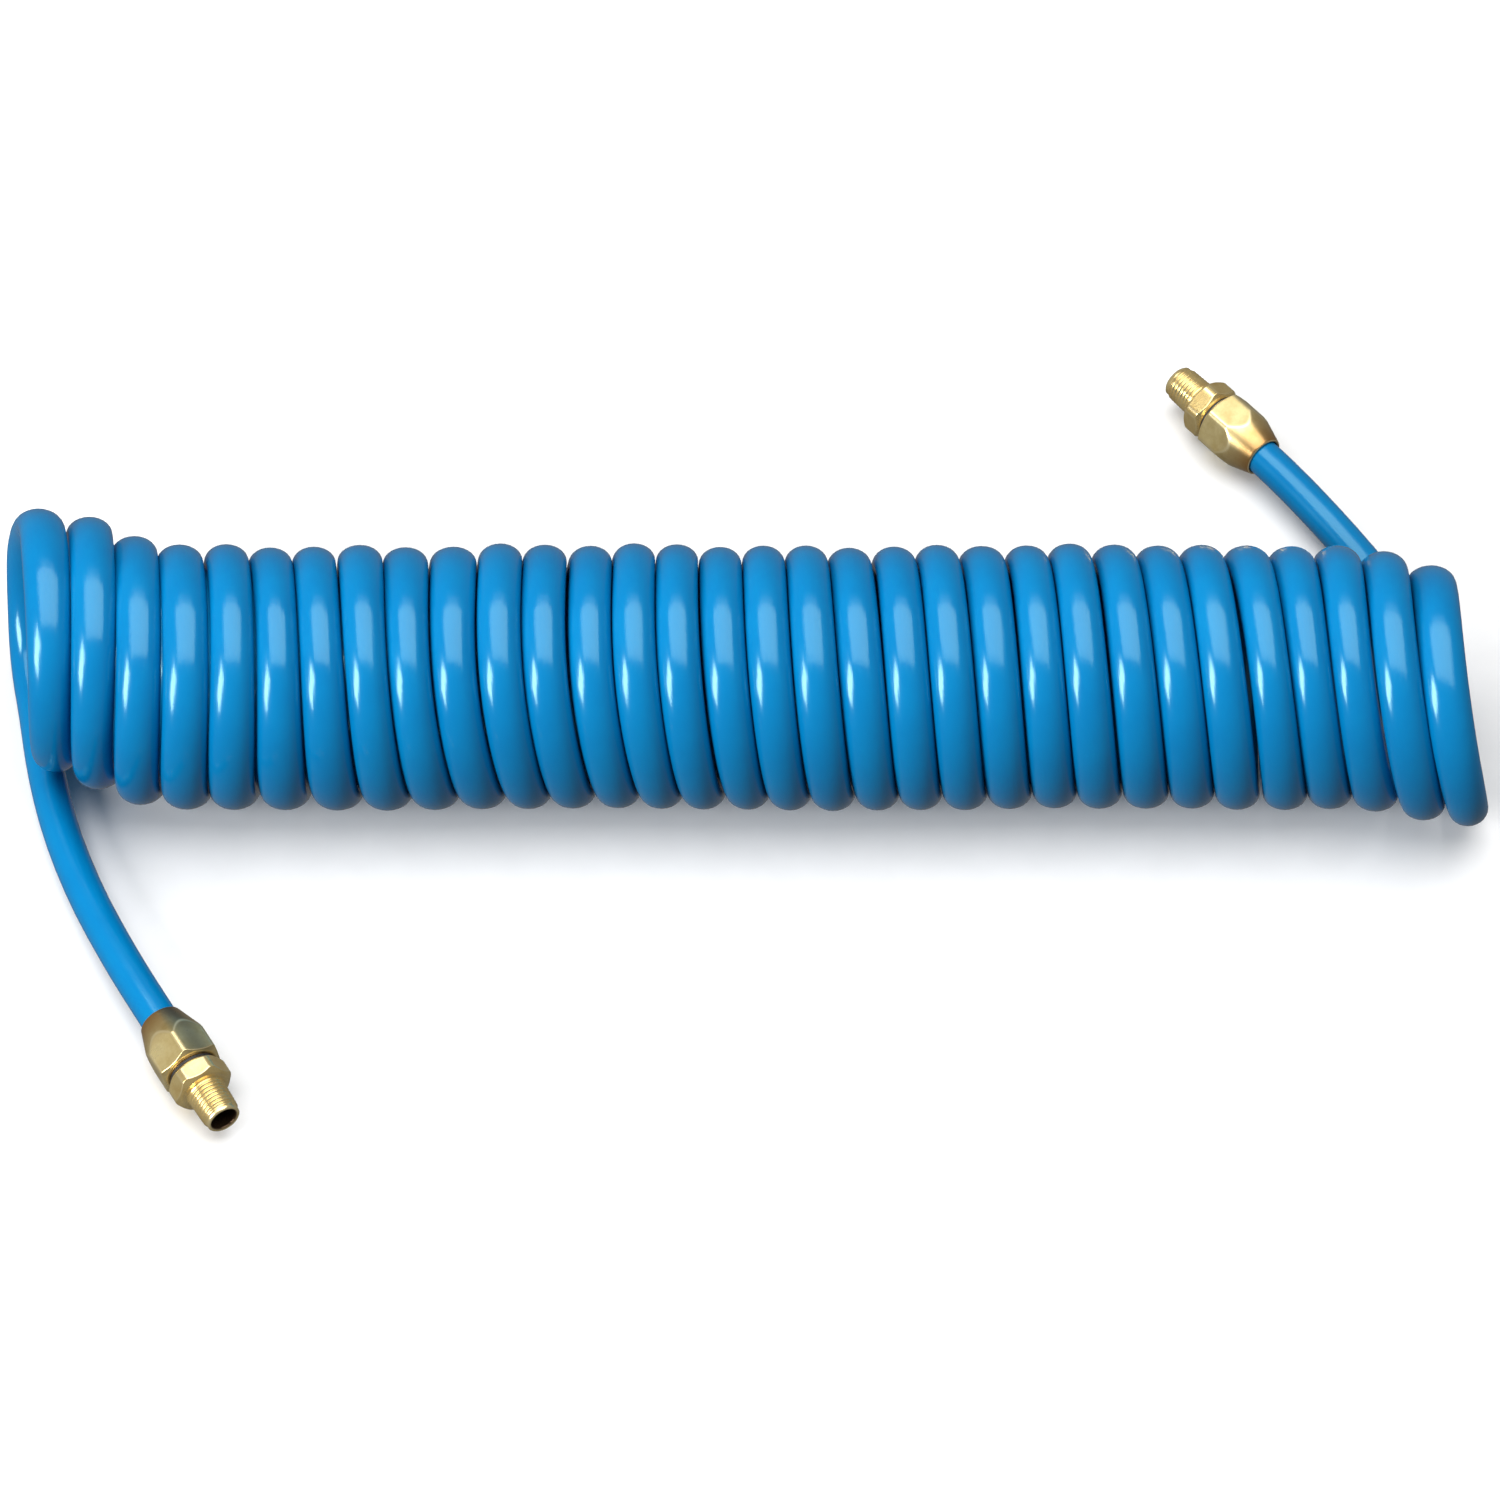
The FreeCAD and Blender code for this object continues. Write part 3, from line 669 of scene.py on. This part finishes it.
def hose_nut(end, roll, stain_and_dark_flat):
    """Tapered hexagonal nut with scalloped flats, hollow for hose, ferrule and thread."""
    stations = [
        (0.0, NUT_BORE_RADIUS + EDGE_BREAK, 0.3),
        (0.0, NUT_MOUTH_RADIUS - EDGE_BREAK, 0.3),
        (EDGE_BREAK * 0.3, NUT_MOUTH_RADIUS - EDGE_BREAK * 0.3, 1.0),
    ]
    scallops = NUT_CONE_LENGTH * 0.55
    hexagon = NUT_CONE_LENGTH + 1 * MM
    chamfer = NUT_LENGTH - NUT_CHAMFER - 0.4 * MM
    for x in np.concatenate([
        np.linspace(EDGE_BREAK, scallops, 14, endpoint=False),
        np.linspace(scallops, hexagon, 44, endpoint=False),
        np.linspace(hexagon, chamfer, 14, endpoint=False),
        np.linspace(chamfer, NUT_LENGTH - EDGE_BREAK * 0.4, 16),
    ]):
        stations.append((x, *nut_outside(x)))
    stations += [
        (NUT_LENGTH, NUT_FRONT_RADIUS - EDGE_BREAK, 0.6),
        (NUT_LENGTH, NUT_THREAD_RADIUS + EDGE_BREAK, 0.2),
        (NUT_LENGTH - EDGE_BREAK, NUT_THREAD_RADIUS, 0.5),
        (NUT_THREAD_MIDDLE, NUT_THREAD_RADIUS, 0.0),
        (NUT_THREAD_START, NUT_THREAD_RADIUS, 0.0),
        (NUT_SEAT, NUT_BORE_RADIUS + NUT_SEAT_STEP, 0.0),
        (NUT_SEAT, NUT_BORE_RADIUS, 0.0),
        (EDGE_BREAK, NUT_BORE_RADIUS, 0.4),
    ]
    return lathe_piece(f"{end}_nut", stations, end, roll, NUT_BRASS, stain_and_dark_flat)


COLLAR_HEX = 19.05 * MM
COLLAR_CORNER_RADIUS = 10.45 * MM
COLLAR_FACE_RADIUS = 8.5 * MM
COLLAR_CHAMFER = 1.8 * MM
COLLAR_ENDS = 2.6 * MM  # what gets closer stations at either end
COLLAR_START = 24.3 * MM
COLLAR_END = 32.7 * MM
TIP = 46.0 * MM
THREAD_RADIUS = 6.8 * MM
THREAD_TAPER = 1 / 16
THREAD_PITCH = 25.4 / 18 * MM
THREAD_DEPTH = 0.38 * MM
THREAD_RUN_IN = (0.3 * MM, 1.8 * MM)  # after the collar
THREAD_RUN_OUT = (-0.2 * MM, 0.9 * MM)  # before the pilot
PILOT_LENGTH = 2.0 * MM
PILOT_RADIUS = 5.9 * MM
MOUTH_CHAMFER = 0.5 * MM
BARREL_BORE_RADIUS = 4.6 * MM
BARREL_BORE_DEPTH = 13.0 * MM
SPIGOT_BORE_RADIUS = 3.0 * MM
SPIGOT_RADIUS = 5.2 * MM
SPIGOT_START = 15.5 * MM
# Grooves of the snap ring and the two O-rings: middle, width and radius at the root.
GROOVES = (
    (16.7 * MM, 1.5 * MM, 4.5 * MM),
    (19.2 * MM, 1.9 * MM, 3.86 * MM),
    (21.6 * MM, 1.9 * MM, 3.86 * MM),
)


def collar_outside(x):
    """Radii of the collar at x, chamfered at both ends, and how near each column is to an edge."""
    hexagon = hexagon_radius(COLLAR_HEX)
    slope = (COLLAR_CORNER_RADIUS - COLLAR_FACE_RADIUS) / COLLAR_CHAMFER
    near = COLLAR_FACE_RADIUS + slope * (x - COLLAR_START)
    far = COLLAR_FACE_RADIUS + slope * (COLLAR_END - x)
    turned = min(near, far, COLLAR_CORNER_RADIUS)
    return softer_of(hexagon, turned), EDGE_BRIGHTNESS * closeness(hexagon, turned)


def thread_radii(x):
    """The tapered pipe thread at x: a rounded vee that winds once round in every pitch."""
    crest = THREAD_RADIUS - THREAD_TAPER / 2 * (x - COLLAR_END)
    phase = ((x - COLLAR_END) / THREAD_PITCH - ANGLES / math.tau) % 1.0
    vee = np.clip(np.abs(2 * phase - 1) * 1.35 - 0.12, 0, 1)  # blunt at its root and its crest
    run_in = smooth(x - COLLAR_END, *THREAD_RUN_IN)
    run_out = smooth(TIP - PILOT_LENGTH - x, *THREAD_RUN_OUT)
    thread = crest - THREAD_DEPTH * (1 - vee) * run_in
    chamfer = PILOT_RADIUS + (crest - PILOT_RADIUS) * run_out
    return np.minimum(thread, chamfer), 0.2 * vee * run_in


def male_connector(end, roll):
    """Spigot with ring grooves, chamfered hexagonal collar, threaded barrel with an open bore."""
    stations = [
        (SPIGOT_START, SPIGOT_BORE_RADIUS, 0.0),
        (SPIGOT_START, SPIGOT_RADIUS - EDGE_BREAK, 0.0),
        (SPIGOT_START + EDGE_BREAK, SPIGOT_RADIUS, 0.3),
    ]
    for middle, width, root in GROOVES:
        stations += [
            (middle - width / 2, SPIGOT_RADIUS, 0.3),
            (middle - width / 2, root, 0.0),
            (middle + width / 2, root, 0.0),
            (middle + width / 2, SPIGOT_RADIUS, 0.3),
        ]
    stations += [
        (COLLAR_START, SPIGOT_RADIUS, 0.0),
        (COLLAR_START, COLLAR_FACE_RADIUS - EDGE_BREAK, 0.3),
    ]
    near, far = COLLAR_START + COLLAR_ENDS, COLLAR_END - COLLAR_ENDS
    for x in np.concatenate([
        np.linspace(COLLAR_START + EDGE_BREAK * 0.4, near, 18, endpoint=False),
        np.linspace(near, far, 8, endpoint=False),
        np.linspace(far, COLLAR_END - EDGE_BREAK * 0.4, 18),
    ]):
        stations.append((x, *collar_outside(x)))
    stations += [
        (COLLAR_END, COLLAR_FACE_RADIUS - EDGE_BREAK, 0.4),
        (COLLAR_END, THREAD_RADIUS + 0.25 * MM, 0.0),
    ]
    for x in np.linspace(COLLAR_END + 0.25 * MM, TIP - PILOT_LENGTH + 0.2 * MM, 118):
        stations.append((x, *thread_radii(x)))
    stations += [
        (TIP - PILOT_LENGTH + 0.4 * MM, PILOT_RADIUS, 0.0),
        (TIP - MOUTH_CHAMFER, PILOT_RADIUS, 0.6),
        (TIP - MOUTH_CHAMFER * 0.2, PILOT_RADIUS - MOUTH_CHAMFER * 0.8, 0.8),
        (TIP, PILOT_RADIUS - MOUTH_CHAMFER, 0.6),
        (TIP, BARREL_BORE_RADIUS + MOUTH_CHAMFER, 0.6),
        (TIP - MOUTH_CHAMFER * 0.8, BARREL_BORE_RADIUS + MOUTH_CHAMFER * 0.2, 0.7),
        (TIP - MOUTH_CHAMFER, BARREL_BORE_RADIUS, 0.4),
    ]
    bore_end = TIP - BARREL_BORE_DEPTH
    for x in np.linspace(TIP - MOUTH_CHAMFER * 2, bore_end, 11):
        stations.append((x, BARREL_BORE_RADIUS, 0.0))
    step = BARREL_BORE_RADIUS - SPIGOT_BORE_RADIUS
    stations.append((bore_end - step, SPIGOT_BORE_RADIUS, 0.0))
    return lathe_piece(f"{end}_connector", stations, end, roll, CONNECTOR_BRASS)


NUT_ROLL = {"front": math.radians(9.0), "rear": math.radians(25.0)}
NUT_DARK_FLAT = {"front": 0.65, "rear": 0.0}  # the front nut has one flat painted dark, a painted reflection
CONNECTOR_ROLL = {"front": math.radians(39.0), "rear": 0.0}


def dress_fitting(end):
    """The two seen pieces are rebuilt in full detail; the hidden ones keep their CAD shape."""
    nut = hose_nut(end, NUT_ROLL[end], NUT_DARK_FLAT[end])
    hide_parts(f"{end}_hose_nut")
    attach(nut, f"hose_{end}")
    connector = male_connector(end, CONNECTOR_ROLL[end])
    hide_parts(f"{end}_male_connector")
    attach(connector, f"{end}_connector")
    pieces = [nut, connector]
    for name, material in (
        ("ferrule", INNER_BRASS),
        ("barb_body", INNER_BRASS),
        ("thrust_washer", ACETAL),
        ("inner_o_ring", RUBBER),
        ("outer_o_ring", RUBBER),
        ("snap_ring", WIRE),
    ):
        node = frame["nodes"][f"{end}_{name}"]
        node.data.materials.clear()
        node.data.materials.append(material)
        pieces.append(node)
    return pieces


fittings = {end: dress_fitting(end) for end in ENDS}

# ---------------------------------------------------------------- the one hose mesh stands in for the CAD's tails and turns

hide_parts("front_tail", "front_turns", "coil", "rear_turns", "rear_tail")
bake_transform(hose)

# ---------------------------------------------------------------- floor, world and lights


FLOOR_REACH = 30.0
WORLD_FILL = 0.18


def make_floor():
    """A sheet of white paper that neither shows in the gloss of the hose nor lights it from
    below, because in the photo the lower sides are dark."""
    mesh = bpy.data.meshes.new("floor")
    signs = ((-1, -1), (1, -1), (1, 1), (-1, 1))
    corners = [(x * FLOOR_REACH, y * FLOOR_REACH, 0) for x, y in signs]
    mesh.from_pydata(corners, [], [(0, 1, 2, 3)])
    material, node = new_material("white_paper")
    place = node("TexCoord").outputs["Object"]
    fibre = noise(node, place, 60.0, 4.0)
    colour = ramp(node, fibre, [(0.3, (0.87,) * 3), (0.7, (0.90,) * 3)])
    shader = node("BsdfPrincipled", Base_Color=colour, Roughness=0.9)
    shader.inputs["Specular IOR Level"].default_value = 0.1
    node("OutputMaterial", Surface=shader.outputs[0])
    mesh.materials.append(material)
    floor = bpy.data.objects.new("floor", mesh)
    floor.visible_glossy = False
    floor.visible_diffuse = False
    bpy.context.collection.objects.link(floor)


def softbox(name, place, width, height, radiance):
    """A rectangular light in metres, aimed at the frame's origin; its height points as far up as
    it can. It is large and far away, so that every turn is lit alike."""
    data = bpy.data.lights.new(name, "AREA")
    data.shape = "RECTANGLE"
    data.size = width
    data.size_y = height
    data.energy = radiance * math.pi * width * height
    light = bpy.data.objects.new(name, data)
    light.location = place
    light.rotation_mode = "QUATERNION"
    light.rotation_quaternion = (-Vector(place)).to_track_quat("-Z", "Y")
    bpy.context.collection.objects.link(light)


def make_lights():
    softbox("overhead", (0.0, 0.25, 6.0), width=8.1, height=6.0, radiance=3.3)
    softbox("left_window", (-5.5, -3.3, 2.9), width=2.3, height=3.8, radiance=18.0)
    softbox("back_card", (0.0, 3.8, 6.0), width=5.0, height=1.2, radiance=0.9)
    world = bpy.data.worlds.new("studio")
    world.use_nodes = True
    background = world.node_tree.nodes["Background"]
    background.inputs["Color"].default_value = (1.0, 1.0, 1.0, 1.0)
    background.inputs["Strength"].default_value = WORLD_FILL
    bpy.context.scene.world = world
    bpy.context.scene.view_settings.view_transform = "Standard"


make_floor()
make_lights()
